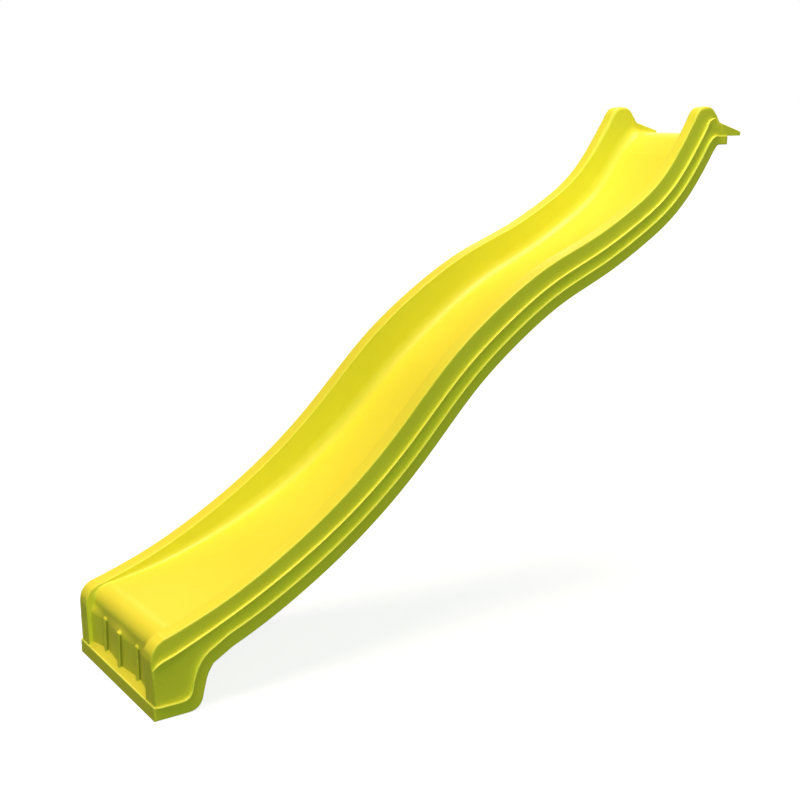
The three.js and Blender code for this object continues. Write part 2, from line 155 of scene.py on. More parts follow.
# Rows of each stretch
PANEL_ROWS, SHOULDER_ROWS, WAVE_ROWS, EAR_ROWS, HOOK_ROWS, FIN_ROWS = 26, 70, 170, 60, 8, 12
CURVE_POINTS = 24


def smooth(t):
    t = min(max(t, 0.0), 1.0)
    return t * t * (3 - 2 * t)


def rising(value, start, length):
    """0 up to start, 1 from start + length on, and smooth between."""
    return smooth((value - start) / length)


def falling(value, end, length):
    """1 up to end - length, 0 from end on, and smooth between."""
    return smooth((end - value) / length)


def natural(pairs):
    """Natural cubic curve through (x, value) pairs, as a function giving value and slope."""
    x = np.array([p[0] for p in pairs], float)
    v = np.array([p[1] for p in pairs], float)
    h = np.diff(x)
    n = len(x)
    a = np.eye(n)
    r = np.zeros(n)
    for i in range(1, n - 1):
        a[i, i - 1], a[i, i], a[i, i + 1] = h[i - 1], 2 * (h[i - 1] + h[i]), h[i]
        r[i] = 6 * ((v[i + 1] - v[i]) / h[i] - (v[i] - v[i - 1]) / h[i - 1])
    m = np.linalg.solve(a, r)

    def at(s):
        s = min(max(s, x[0]), x[-1])
        k = min(max(int(np.searchsorted(x, s)) - 1, 0), n - 2)
        p, q = (x[k + 1] - s) / h[k], (s - x[k]) / h[k]
        bend = ((p**3 - p) * m[k] + (q**3 - q) * m[k + 1]) * h[k] ** 2 / 6
        turn = ((3 * q * q - 1) * m[k + 1] - (3 * p * p - 1) * m[k]) * h[k] / 6
        return p * v[k] + q * v[k + 1] + bend, (v[k + 1] - v[k]) / h[k] + turn

    return at


rim = natural(RIM_WAVE)
ledge_1 = natural(LEDGE_1)
ledge_2 = natural(LEDGE_2)
bottom = natural(BOTTOM)
bed = natural(BED)


def below(s, depth):
    """Point square below the rim's point at s. depth is a number or one of the curves."""
    if callable(depth):
        depth = depth(s)[0]
    z, slope = rim(s)
    t = math.atan(slope)
    return np.array([s + depth * math.sin(t), z - depth * math.cos(t)])


def follow(start, end, depth, n):
    """n points that follow the rim from s = start to s = end, at a changing depth."""
    return [below(s, depth) for s in np.linspace(start, end, n)]


def rounded(points, n=CURVE_POINTS):
    """Centripetal curve through a few points, with n points to a span."""
    p = [np.array(q, float) for q in points]
    p = [2 * p[0] - p[1]] + p + [2 * p[-1] - p[-2]]
    out = []
    for i in range(1, len(p) - 2):
        t = np.cumsum([0.0] + [max(np.linalg.norm(p[i + k] - p[i + k - 1]), 1e-6) ** 0.5 for k in range(3)])
        for u in np.linspace(t[1], t[2], n, endpoint=False):
            a1 = ((t[1] - u) * p[i - 1] + (u - t[0]) * p[i]) / (t[1] - t[0])
            a2 = ((t[2] - u) * p[i] + (u - t[1]) * p[i + 1]) / (t[2] - t[1])
            a3 = ((t[3] - u) * p[i + 1] + (u - t[2]) * p[i + 2]) / (t[3] - t[2])
            b1 = ((t[2] - u) * a1 + (u - t[0]) * a2) / (t[2] - t[0])
            b2 = ((t[3] - u) * a2 + (u - t[1]) * a3) / (t[3] - t[1])
            out.append(((t[2] - u) * b1 + (u - t[1]) * b2) / (t[2] - t[1]))
    return out + [p[-2]]


def bezier(a, b, c, n=CURVE_POINTS):
    a, b, c = (np.array(q, float) for q in (a, b, c))
    return [(1 - t) ** 2 * a + 2 * t * (1 - t) * b + t * t * c for t in np.linspace(0, 1, n)]


def along(points, n):
    """n points evenly spaced along a line of points."""
    p = np.array(points, float)
    s = np.concatenate([[0], np.cumsum(np.linalg.norm(np.diff(p, axis=0), axis=1))])
    u = np.linspace(0, s[-1], n)
    return np.stack([np.interp(u, s, p[:, 0]), np.interp(u, s, p[:, 1])], axis=1)


def corner(a, b, c, r, n=6):
    """Points of a rounded corner at b between a and c."""
    a, b, c = (np.array(q, float) for q in (a, b, c))
    ua, uc = (a - b) / np.linalg.norm(a - b), (c - b) / np.linalg.norm(c - b)
    return bezier(b + ua * r, b, b + uc * r, n)


def normals(line):
    t = np.gradient(line, axis=0)
    for i in range(len(t)):
        if np.linalg.norm(t[i]) < 1e-9:
            t[i] = t[i - 1] if i else (0, 1)
    t /= np.linalg.norm(t, axis=1)[:, None]
    return np.stack([-t[:, 1], t[:, 0]], axis=1)


def half_width(y):
    return HALF_WIDTH_AT_FOOT - TAPER * y


def first_step(y):
    """Step of the middle flank, which fades where the first ledge runs into the back of the ear."""
    return LEDGE_STEP * (1 - rising(y, *STEP_GOES) * (1 - rising(y, *STEP_COMES_BACK)))


def step_in(y, edge, r):
    """How far a flank pulls in where it rounds into an end face at y = edge."""
    d = min(max(y - (edge - r), 0.0), r)
    return r - math.sqrt(max(r * r - d * d, 0.0))


# ---------------------------------------------------------------- lines of the side view, stretch by stretch
# Each stretch has a rim and a bed, and some have ledge_1, ledge_2 and lower, the lowest edge of the side.
WAVE_FROM, WAVE_TO, SIDE_FROM = 100.0, 1840.0, 236.0
EAR_FOOT = (1993.0, 1507.0)
EAR_TOP = [(1888, 1497), (1902, 1521), (1916, 1535), (1934, 1540), (1958, 1540), (1973, 1534), (1984, 1521)]
EAR_LEDGE_1 = [(1935, 1472), (1947, 1492), (1962, 1502)]
EAR_LEDGE_2 = [(1940, 1418), (1958, 1440), (1975, 1450), (2005, 1450)]
EAR_BOTTOM_CORNER = ((1920, 1360), (1992, HOOK_Z), (HOOK_BACK_Y, HOOK_Z))
HOOK_CORNER = 8
CREST = (1978, TONGUE_TOP_Z)
CURVE_LEAD_Y = 1800
HOOK_FROM = 2005
TONGUE_FLAT_FROM = 2014
FIN_TIP_Z = 1463.0
FIN_SIDE_END = LENGTH - FIN_ROUND
FIN_AT_HOOK = (HOOK_BACK_Y, 1491 - (HOOK_BACK_Y - 2003) * 28 / 95)
FIN_FRONT = [(1999, 1497), (2006, 1490.5), (2018, 1486.6)]
BASE_FRONT = [(0, 0), (0, 12), (0, 24), (0, BASE_Z - 3.2), (0, BASE_Z - 1.6), (0.14, BASE_Z - 0.75),
              (0.62, BASE_Z - 0.15), (BASE_EDGE, BASE_Z)]
PILLAR_TOP = (1.6, PANEL_TOP_Z)
PILLAR_FRONT = [(BASE_EDGE, BASE_Z), (LIP_SETBACK - 0.8, BASE_Z + 0.1), (LIP_SETBACK, BASE_Z + 1),
                (LIP_SETBACK - 0.6, 80), PILLAR_TOP]
NOSE_FOOT = [(0.6, 140), (0.2, 152)]
NOSE = [(0, 160), (4, 181), (17, 201), (36, 214)]
LEDGE_1_FOOT = [(3, 134), (10, 146), (24, 156)]
LIP_LINE = [(BASE_EDGE + RIM_OUTER_ROUND, BASE_Z), (40, BASE_Z), (80, 38), (96, 43), (105, 55), (112, 86),
            (126, 122), (147, 149), (176, 168), (220, 193)]
LIP_SPLIT = 2 * CURVE_POINTS
HEEL_RISE = ((96, 0), (133, 0), (140, 38))
HEEL_TURN = [(140, 38), (147, 65), (155.5, 92), (171, 118)]
BASE_SIDE_SPLIT = (45, 0)
# Where each line's own shape joins the wave, before it at the foot and after it at the ear, as a place along
# the slide and a number of points that follow the wave
FOOT_JOINS = dict(rim=(47, 8), bed=(80, 4), ledge_1=(50, 8), ledge_2=(228, 2), lower=(180, 6))
EAR_JOINS = dict(rim=(1868, 3), bed=(1850, 2), lower=(1868, 3))
ROLL_Z = below(80, bed)[1] - 1 - ROLL_RADIUS
ROLL_POINTS = 22
# Ramp for falling(): how far the channel's roundings have tightened at a height of the bed
TIGHTENS = (ROLL_Z + 25, 45)


def roll():
    """Quarter turn from the panel's top to the bed."""
    angles = np.linspace(0, math.pi / 2, ROLL_POINTS, endpoint=False)
    return [np.array([PANEL_Y + ROLL_RADIUS * (1 - math.cos(a)), ROLL_Z + ROLL_RADIUS * math.sin(a)])
            for a in angles]


def level(y, z):
    """Line of points at one height z."""
    return np.stack([y, np.full(len(y), z)], 1)


def stretch(kind, n, **lines):
    """A stretch of n rows, from lines of any number of points."""
    return dict(kind=kind, **{name: along(points, n) for name, points in lines.items()})


def base_stretch():
    """Base of the foot, up its front face and over its rounded top edge."""
    front = np.array(BASE_FRONT, float)
    lower = along([(RIM_OUTER_ROUND, 0), BASE_SIDE_SPLIT], len(front))
    return dict(kind="base", rim=front, bed=front.copy(), lower=lower)


def panel_stretch(n):
    """Shelf and panel of the foot between its two pillars."""
    return stretch("panel", n, rim=PILLAR_FRONT, bed=PILLAR_FRONT, ledge_2=rounded(LIP_LINE)[:LIP_SPLIT + 1],
                   lower=[BASE_SIDE_SPLIT, HEEL_RISE[0]])


def shoulder_stretch(n):
    """From the panel's top over the foot's rounded front to the start of the wave."""
    def join(name, end, depth):
        start, count = FOOT_JOINS[name]
        return follow(start, end, depth, count)

    first = rounded([PILLAR_TOP] + LEDGE_1_FOOT + [below(45, ledge_1)])
    heel = bezier(*HEEL_RISE) + rounded(HEEL_TURN)[1:]
    return stretch(
        "shoulder", n,
        rim=[PILLAR_TOP] + NOSE_FOOT + rounded(NOSE) + join("rim", WAVE_FROM, 0.0),
        bed=[(PANEL_Y, PANEL_TOP_Z), (PANEL_Y, ROLL_Z)] + roll() + join("bed", WAVE_FROM, bed),
        ledge_1=first + join("ledge_1", WAVE_FROM, ledge_1),
        ledge_2=rounded(LIP_LINE)[LIP_SPLIT:] + join("ledge_2", SIDE_FROM, ledge_2),
        lower=heel + join("lower", SIDE_FROM, bottom))


def wave_stretch(n):
    """The wave, with rows evenly spaced in y at the rim."""
    depths = dict(rim=(WAVE_FROM, 0.0), bed=(WAVE_FROM, bed), ledge_1=(WAVE_FROM, ledge_1),
                  ledge_2=(SIDE_FROM, ledge_2), lower=(SIDE_FROM, bottom))
    lines = {name: np.array(follow(start, WAVE_TO, depth, n)) for name, (start, depth) in depths.items()}
    return dict(kind="wave", **lines)


def ear_stretch(n):
    """From the end of the wave over the ear to its foot on the tongue."""
    def leave(name, depth):
        end, count = EAR_JOINS[name]
        return follow(WAVE_TO, end, depth, count)

    def leave_ledge(curve, points):
        # the curve starts one span early, so that it leaves the wave in the wave's own direction
        return rounded([below(CURVE_LEAD_Y, curve), below(WAVE_TO, curve)] + points)[CURVE_POINTS:]

    rim_start, bed_start = leave("rim", 0.0), leave("bed", bed)
    return stretch(
        "ear", n,
        rim=rim_start + rounded([rim_start[-1]] + EAR_TOP + [EAR_FOOT])[1:],
        bed=bed_start + bezier(bed_start[-1], CREST, (TONGUE_FLAT_FROM, TONGUE_TOP_Z))[1:],
        ledge_1=leave_ledge(ledge_1, EAR_LEDGE_1 + [EAR_FOOT]),
        ledge_2=leave_ledge(ledge_2, EAR_LEDGE_2),
        lower=leave("lower", bottom) + corner(*EAR_BOTTOM_CORNER, HOOK_CORNER) + [(HOOK_FROM, HOOK_Z)])


def hook_stretch(n):
    """From the ear's foot to the back of the hook block."""
    y = np.linspace(HOOK_FROM, HOOK_BACK_Y, n)
    return dict(kind="hook", rim=along(rounded([EAR_FOOT] + FIN_FRONT + [FIN_AT_HOOK]), n),
                bed=along([(TONGUE_FLAT_FROM, TONGUE_TOP_Z), (HOOK_BACK_Y, TONGUE_TOP_Z)], n),
                ledge_2=level(y, PLATFORM_Z), lower=level(y, HOOK_Z))


def tongue_edge():
    """Rounded rear edge of the tongue's top, as its upper half and its lower half."""
    edge = corner((HOOK_BACK_Y, TONGUE_TOP_Z), (LENGTH, TONGUE_TOP_Z), (LENGTH, PLATFORM_Z), TONGUE_ROUND)
    half = len(edge) // 2
    return edge[:half + 1], edge[half:]


def fin_stretch(n):
    """From the hook block's back to the ends of the fins."""
    tip = corner(FIN_AT_HOOK, (LENGTH, FIN_TIP_Z), (LENGTH, PLATFORM_Z), FIN_ROUND)
    return dict(kind="fin", rim=along([FIN_AT_HOOK] + tip[:len(tip) // 2 + 1], n),
                bed=along([(HOOK_BACK_Y, TONGUE_TOP_Z)] + tongue_edge()[0], n),
                ledge_2=level(np.linspace(HOOK_BACK_Y, FIN_SIDE_END, n), PLATFORM_Z))


def rear_stretch(n):
    """Rear faces of the fins and the tongue. The rim's heights are set later, from the fin's last row."""
    rim_line = np.stack([np.full(n, LENGTH), np.linspace(FIN_TIP_Z, PLATFORM_Z, n)], 1)
    return dict(kind="rear", rim=rim_line, bed=along(tongue_edge()[1] + [(LENGTH, PLATFORM_Z)], n))


def under_stretch(n):
    """Underside of the tongue, back to the hook block."""
    line = level(np.linspace(FIN_SIDE_END, HOOK_BACK_Y, n), PLATFORM_Z)
    return dict(kind="under", rim=line, bed=line.copy(), rim_normal=normals(line))


# ---------------------------------------------------------------- sections of the upper skin
# Share of the channel's depth that its roundings may take, in the channel and at the front
TURN_SHARE, FRONT_SHARE = 0.4, 0.2
THIN = 1.0


def panel_face(x, z):
    """y of the foot's front face at x and z: a shallow W in plan, with a rib on each fold."""
    x = abs(x)
    y = PANEL_Y + (np.interp(x, *PANEL_PLAN) - PANEL_Y) * (1 - rising(z, *FOLDS_GO))
    for place, front in ((0.0, CENTRE_RIB_Y), (RIB_SPACING, SIDE_RIB_Y)):
        share = 1 - rising(abs(x - place), RIB_HALF, RIB_FOOT_HALF - RIB_HALF)
        share *= 1 - rising(z, RIB_TOP_Z - RIB_TOP_SOFT, RIB_TOP_SOFT)
        y = min(y, y + (front + RIB_LEAN * (z - BASE_Z) - y) * share)
    return y


def panel_point(x, row, rows):
    """A point of the shelf or panel below the shoulder, for row 0 to rows - 1."""
    face = panel_face(x, PANEL_MIDDLE_Z)
    if row < SHELF_ROWS:
        t = row / (SHELF_ROWS - 1)
        return BASE_EDGE + (face - BASE_EDGE) * t, BASE_Z + SHELF_RISE * face * t
    start = BASE_Z + SHELF_RISE * face
    t = (row - SHELF_ROWS + 1) / (rows - SHELF_ROWS)
    z = start + (PANEL_TOP_Z - start) * t
    return panel_face(x, z), z


def quarter(n, first=1):
    """Sine and cosine of n steps of a quarter turn."""
    return [(math.sin(math.pi / 2 * k / n), math.cos(math.pi / 2 * k / n)) for k in range(first, n + 1)]


def channel_outline(half_inside, depth, fillet, turn):
    """(x, height above the bed) from the middle of the bed up to the rim's inner edge."""
    def wall(height):
        return half_inside - WALL_DRAFT * (depth - height)

    flat = wall(fillet) - fillet
    outline = [(x / PANEL_HALF * flat, 0.0) for x in PANEL_X]
    for k in range(1, FILLET_POINTS + 1):
        a = math.pi / 2 * (1 - k / FILLET_POINTS)
        outline.append((wall(fillet) - fillet * (1 - math.cos(a)), fillet * (1 - math.sin(a))))
    for k in range(1, WALL_POINTS + 1):
        height = fillet + (depth - turn - fillet) * k / WALL_POINTS
        outline.append((wall(height), height))
    top = wall(depth - turn)
    return outline + [(top + turn * (1 - c), depth - turn + turn * s) for s, c in quarter(TURN_POINTS)]


def channel_half(rim_point, bed_point, rim_normal, row, rows, kind):
    """Right half of the channel's section, from the middle of the bed up to the rim's inner edge."""
    up = rim_point - bed_point
    depth = float(np.linalg.norm(up))
    up = up / depth if depth > THIN else rim_normal
    front = falling(bed_point[1], *TIGHTENS) if kind in ("panel", "shoulder") else 0.0
    by_ear = rising(rim_point[0], *EAR_TURN_COMES) if kind in ("wave", "ear") else 0.0
    fillet = min(MAX_FILLET, FILLET_SHARE * depth) * (1 - front)
    fillet += min(FRONT_FILLET, FRONT_SHARE * depth) * front
    turn = RIM_INNER_ROUND + (EAR_INNER_ROUND - RIM_INNER_ROUND) * by_ear
    turn = min(turn, TURN_SHARE * depth) * (1 - front) + min(FRONT_TURN, FRONT_SHARE * depth) * front
    section = []
    for x, height in channel_outline(INNER_RATIO * half_width(rim_point[0]), depth, fillet, turn):
        p = bed_point + up * height
        if kind == "panel" and depth > 0.0:
            y, z = panel_point(x, row, rows)
            share = 0.0 if depth < 0.01 else height / depth
            p = np.array([y * (1 - share) + rim_point[0] * share, z * (1 - share) + rim_point[1] * share])
        elif kind == "shoulder" and bed_point[1] < ROLL_Z + 4 and depth > THIN:
            shift = (panel_face(x, bed_point[1]) - PANEL_Y) * (1 - height / depth)
            p = p + np.array([shift, 0.0])
        section.append((x, p[0], p[1]))
    return section


def rim_width(kind, y):
    """Half width at the rim's outer edge. Where flanks are missing, the rim stands out in their place."""
    if kind in ("hook", "fin"):
        return half_width(y) + first_step(y)
    if kind == "rear":
        return half_width(FIN_SIDE_END) + LEDGE_STEP
    return half_width(y) + dict(base=2, panel=1, under=1).get(kind, 0) * LEDGE_STEP


def rim_round(kind, y):
    """Radius of the rim's outer edge, which grows over the top of the ear."""
    if kind == "under":
        return 0.0
    if kind in ("hook", "fin", "rear"):
        return FIN_ROUND
    if kind == "ear":
        return RIM_OUTER_ROUND + EAR_OUTER_EXTRA * rising(y, *EAR_ROUND_COMES) * falling(y, *EAR_ROUND_GOES)
    return RIM_OUTER_ROUND


def round_over(section, width, rim_point, rim_normal, radius):
    """Quarter round from the rim's top down to its outer face."""
    for s, c in quarter(ROUND_POINTS):
        p = rim_point - rim_normal * radius * (1 - c)
        section.append((width - radius + radius * s, p[0], p[1]))


def flank(section, width_at, start, end, n, lean=0.0):
    """n points down a flank, which stands out by lean at its top."""
    run = float(np.linalg.norm(end - start))
    for k in range(1, n + 1):
        t = (k / n) ** 1.5
        p = start + (end - start) * t
        fade = max(0.0, 1 - t * run / LEAN_REACH)
        section.append((width_at(p[0]) + lean * fade * fade, p[0], p[1]))


def ledge(section, inside, point, normal, crease, radius, out):
    """Crease at the foot of a flank and the rounded edge of the ledge, which stands out from it."""
    for s, c in quarter(CREASE_POINTS):
        p = point + normal * crease * (1 - s)
        section.append((inside + crease * (1 - c), p[0], p[1]))
    outside = inside + max(out, radius)
    for s, c in quarter(LEDGE_POINTS - 1, 0):
        p = point - normal * radius * (1 - c)
        section.append((outside - radius + radius * s, p[0], p[1]))


def pad(section, count):
    """Stands in for the columns of flanks and ledges that a stretch doesn't have."""
    section += [section[-1]] * count


def first_ledge(section, part, i, width, radius):
    """First flank and ledge below the rim. Gives where they end and how far the next flank stands out."""
    rim_point, rim_normal = part["rim"][i], part["rim_normal"][i]
    point, normal = part["ledge_1"][i], part["ledge_1_normal"][i]
    inside = half_width(rim_point[0])
    room = float(np.linalg.norm(point - rim_point))
    crease = min(LEDGE_CREASE, 0.2 * room)
    start = rim_point - rim_normal * min(radius, 0.5 * room)
    if room < 2 * radius:
        # the ledge runs into the rim, so the rim's outer edge is drawn again with a smaller round
        del section[-ROUND_POINTS:]
        merge = smooth(1 - room / (2 * radius))
        radius = 0.5 * room * (1 - merge) + FIN_ROUND * merge
        start = rim_point - rim_normal * radius
        point = point * (1 - merge) + start * merge
        round_over(section, width, rim_point, rim_normal, radius)
    flank(section, lambda y: inside, start, point + normal * crease, FIRST_FLANK_POINTS)
    lean = LEDGE_SPREAD * rising(point[0], *LEAN_1_COMES) * falling(point[0], *LEAN_1_GOES)
    step = first_step(point[0])
    edge = min(LEDGE_ROUND, 0.9 * max(step + lean, 0.1))
    ledge(section, inside, point, normal, min(crease, 0.1 + 0.2 * step), edge, step + lean)
    return point - normal * edge, lean + (step - LEDGE_STEP)


def second_ledge(section, part, i, start, lean):
    """Second flank and ledge. Gives where they end and how far the next flank stands out."""
    point, normal = part["ledge_2"][i], part["ledge_2_normal"][i]

    def width_at(y):
        return half_width(y) + LEDGE_STEP

    if "lower" not in part:
        flank(section, width_at, start, point, FLANK_POINTS)
        pad(section, CREASE_POINTS + LEDGE_POINTS)
        return point, 0.0
    near_back = step_in(point[0], HOOK_BACK_Y, HOOK_ROUND) if part["kind"] == "hook" else 0.0
    crease = LEDGE_CREASE * (1 - near_back / HOOK_ROUND)
    flank(section, width_at, start, point + normal * crease, FLANK_POINTS, lean)
    lean = LEDGE_SPREAD * rising(point[0], *LEAN_2_COMES) * falling(point[0], *LEAN_2_GOES)
    ledge(section, width_at(point[0]), point, normal, crease, LEDGE_ROUND, LEDGE_STEP - near_back + lean)
    return point - normal * LEDGE_ROUND, lean


def lowest_flank(section, part, i, start, lean):
    """Lowest flank and the turn to the body's lower edge."""
    point, normal = part["lower"][i], part["lower_normal"][i]
    near_back = step_in(point[0], HOOK_BACK_Y, HOOK_ROUND) if part["kind"] == "hook" else 0.0

    def width_at(y):
        return half_width(y) + 2 * LEDGE_STEP - near_back

    flank(section, width_at, start, point + normal * BOTTOM_ROUND, FLANK_POINTS, lean)
    for s, c in quarter(BOTTOM_POINTS):
        p = point + normal * BOTTOM_ROUND * (1 - s)
        section.append((width_at(point[0]) - BOTTOM_ROUND * (1 - c), p[0], p[1]))


def section_half(part, i):
    """Right half of row i of a stretch, from the middle of the bed out to the lower edge."""
    kind, rows = part["kind"], len(part["rim"])
    rim_point, bed_point, rim_normal = part["rim"][i], part["bed"][i], part["rim_normal"][i]
    width, radius = rim_width(kind, rim_point[0]), rim_round(kind, rim_point[0])
    if kind == "panel":
        bed_point = np.array(panel_point(WALL_START_X, i, rows))
    section = channel_half(rim_point, bed_point, rim_normal, i, rows, kind)
    if kind in ("base", "under"):
        section = [(x, rim_point[0], rim_point[1]) for x, _, _ in section]
    start = section[-1][0]
    for k in range(1, RIM_POINTS + 1):
        section.append((start + (width - radius - start) * k / RIM_POINTS, rim_point[0], rim_point[1]))
    round_over(section, width, rim_point, rim_normal, radius)

    last, lean = rim_point - rim_normal * radius, 0.0
    if "ledge_1" in part:
        last, lean = first_ledge(section, part, i, width, radius)
    else:
        pad(section, FIRST_FLANK_POINTS + CREASE_POINTS + LEDGE_POINTS)
    if kind == "hook":
        lean = first_step(rim_point[0]) - LEDGE_STEP
    if "ledge_2" in part:
        last, lean = second_ledge(section, part, i, last, lean)
    else:
        pad(section, FLANK_POINTS + CREASE_POINTS + LEDGE_POINTS)
    if "lower" in part:
        lowest_flank(section, part, i, last, lean)
    else:
        pad(section, FLANK_POINTS + BOTTOM_POINTS)
    return section


def join_normals(parts, name):
    """Normals of one line over all the stretches that have it, so that they turn smoothly between them."""
    have = [part for part in parts if name in part]
    line = np.concatenate([part[name] for part in have])
    keep = np.concatenate([[True], np.linalg.norm(np.diff(line, axis=0), axis=1) > 1e-6])
    turn = normals(line[keep])
    turn[1:-1] = turn[:-2] + 2 * turn[1:-1] + turn[2:]
    turn /= np.linalg.norm(turn, axis=1)[:, None]
    turn = turn[np.cumsum(keep) - 1]
    at = 0
    for part in have:
        part[name + "_normal"] = turn[at:at + len(part[name])]
        at += len(part[name])


def row_painted_light(part, i, count):
    """Painted highlight and painted shade of the points of row i of a stretch, on both sides."""
    kind, rows = part["kind"], len(part["rim"])
    height, bed_height = part["rim"][i][1], part["bed"][i][1]
    light_paint_amount = [0.0] * count
    # Painted highlight along the rim's inner rounding
    if kind not in ("base", "panel", "shoulder"):
        for k in range(TURN_START + 1, TURN_START + TURN_POINTS - 1):
            light_paint_amount[k] = PAINTED_INNER_HIGHLIGHT
    # Painted highlight on the top of the rim's outer rounding
    for k in range(ROUND_START, ROUND_START + 3):
        light_paint_amount[k] = PAINTED_RIM_HIGHLIGHT
    # Painted shade on the pillars' corners at the foot, giving way to the rim's painted highlight higher up
    if kind in ("panel", "shoulder"):
        pillar_shade = PAINTED_HALF_SHADE * (1 - rising(height, *PILLAR_SHADE_GOES))
        for k in range(ROUND_START, LAST_ROUND):
            light_paint_amount[k] = pillar_shade + PAINTED_RIM_HIGHLIGHT * rising(height, *RIM_HIGHLIGHT_COMES)
    # Painted shade down the sides of the foot's ribs
    if (kind == "panel" and i >= SHELF_ROWS) or (kind == "shoulder" and bed_height < RIB_TOP_Z - 9):
        for k in RIB_SIDE_COLUMNS:
            light_paint_amount[k] = PAINTED_SHADE
        for k in RIB_SIDE_FADE_COLUMNS:
            light_paint_amount[k] = PAINTED_HALF_SHADE
    # Painted highlight along both ledges
    for start in (LEDGE_1_START, LEDGE_2_START):
        for k in range(start, start + LEDGE_POINTS - 2):
            light_paint_amount[k] = PAINTED_HIGHLIGHT
    # Painted highlight along the base's top front edge
    if (kind == "base" and i >= rows - 4) or (kind == "panel" and i == 0):
        light_paint_amount = [PAINTED_HIGHLIGHT if k < LAST_ROUND else v for k, v in enumerate(light_paint_amount)]
    return light_paint_amount[:0:-1] + light_paint_amount


def outer_faces(row, first, middle):
    """(row, column) pairs of the faces from a column of the half section outwards, on both sides."""
    right = {(row, middle + c) for c in range(first, middle)}
    return right | {(row, middle - c - 1) for c in range(first, middle)}


def upper_rows():
    """Rows of points from the foot's base to the tongue's underside, their painted highlight and shade, and
    the faces left out.
    """
    base, panel, rear = base_stretch(), panel_stretch(PANEL_ROWS), rear_stretch(FLANK_POINTS)
    parts = [base, panel, shoulder_stretch(SHOULDER_ROWS), wave_stretch(WAVE_ROWS), ear_stretch(EAR_ROWS),
             hook_stretch(HOOK_ROWS), fin_stretch(FIN_ROWS), rear]
    for name in ("rim", "ledge_1", "ledge_2", "lower"):
        join_normals(parts, name)
    base["rim_normal"][:] = panel["rim_normal"][:] = (-1, 0)
    rear["rim_normal"][:] = (1, 0)

    rows, painted_light, bare = [], [], set()
    for part in parts + [under_stretch(FIN_ROWS)]:
        for i in range(len(part["rim"])):
            half = section_half(part, i)
            rows.append([(-x, y, z) for x, y, z in reversed(half[1:])] + half)
            painted_light.append(row_painted_light(part, i, len(half)))
        if part["kind"] == "hook":
            hook_end, middle = half, len(half) - 1
            bare |= outer_faces(len(rows) - 1, LEDGE_2_START, middle)
        if part["kind"] == "fin":
            bare |= outer_faces(len(rows) - 1, LAST_ROUND, middle)
            rear["rim"][:, 1] = [z for _, _, z in half[FLANK_2_START:FLANK_2_END]]
    # back of the hook block: one row for each point of the hook's own end outline
    across = [x / rows[-1][-1][0] for x, _, _ in rows[-1]]
    for x, y, z in hook_end[LEDGE_2_START + 1:]:
        rows.append([(x * share, y, z) for share in across])
        painted_light.append([0.0] * (2 * middle + 1))
    return rows, painted_light, bare


# ---------------------------------------------------------------- meshes
SHARP_ANGLE = 32
MERGE_DISTANCE = 4e-5


def to_frame(p):
    return (p[0] / 1000, (p[1] - ORIGIN_Y) / 1000, (p[2] - PLATFORM_Z) / 1000)


def grid_object(name, rows, closed=False, painted_light=None, bare=()):
    """Mesh over rows of points. The painted highlight and shade, if given, is a number for each point, read
    by the plastic, and bare holds the (row, column) pairs that get no face."""
    bm = bmesh.new()
    # Painted highlight and painted shade, as a number for each point
    layer = bm.verts.layers.float.new("painted_light") if painted_light else None
    verts = [[bm.verts.new(to_frame(p)) for p in row] for row in rows]
    if painted_light:
        for line, values in zip(verts, painted_light):
            for v, value in zip(line, values):
                v[layer] = value
    n = len(rows[0])
    for i, (a, b) in enumerate(zip(verts, verts[1:])):
        for j in range(n if closed else n - 1):
            k = (j + 1) % n
            if (i, j) not in bare:
                bm.faces.new((a[j], a[k], b[k], b[j]))
    bmesh.ops.remove_doubles(bm, verts=bm.verts, dist=MERGE_DISTANCE)
    bmesh.ops.dissolve_degenerate(bm, edges=bm.edges, dist=MERGE_DISTANCE / 2)
    mesh = bpy.data.meshes.new(name)
    bm.to_mesh(mesh)
    bm.free()
    obj = bpy.data.objects.new(name, mesh)
    bpy.context.scene.collection.objects.link(obj)
    for p in mesh.polygons:
        p.use_smooth = True
    mesh.set_sharp_from_angle(angle=math.radians(SHARP_ANGLE))
    return obj


def close_ends(obj):
    bm = bmesh.new()
    bm.from_mesh(obj.data)
    bmesh.ops.holes_fill(bm, edges=[e for e in bm.edges if e.is_boundary], sides=0)
    bmesh.ops.recalc_face_normals(bm, faces=bm.faces)
    bm.to_mesh(obj.data)
    bm.free()
    obj.data.set_sharp_from_angle(angle=math.radians(SHARP_ANGLE))


def apply_modifiers(obj):
    mesh = bpy.data.meshes.new_from_object(obj.evaluated_get(bpy.context.evaluated_depsgraph_get()))
    old = obj.data
    obj.modifiers.clear()
    obj.data = mesh
    bpy.data.meshes.remove(old)
    mesh.name = obj.name


def cut(obj, tool):
    """Cuts the tool's shape out of obj and removes the tool."""
    modifier = obj.modifiers.new("cut", "BOOLEAN")
    modifier.operation = "DIFFERENCE"
    modifier.solver = "EXACT"
    modifier.object = tool
    apply_modifiers(obj)
    mesh = tool.data
    bpy.data.objects.remove(tool)
    bpy.data.meshes.remove(mesh)


# ---------------------------------------------------------------- the two skins
PAN_RISE = 8.0
SHEET_BEVEL = 0.8
SHEET_BASE_ROWS, SHEET_FOOT_ROWS, SHEET_WAVE_ROWS, SHEET_EAR_ROWS, SHEET_TOP_ROWS = 8, 70, 150, 40, 44
# Places across the underside where it has a line of points, up to its edge
UNDERSIDE_X = [0, 60, 120, 134, 138, 141, 144, 147, 150, 153, 157, 170, 200]


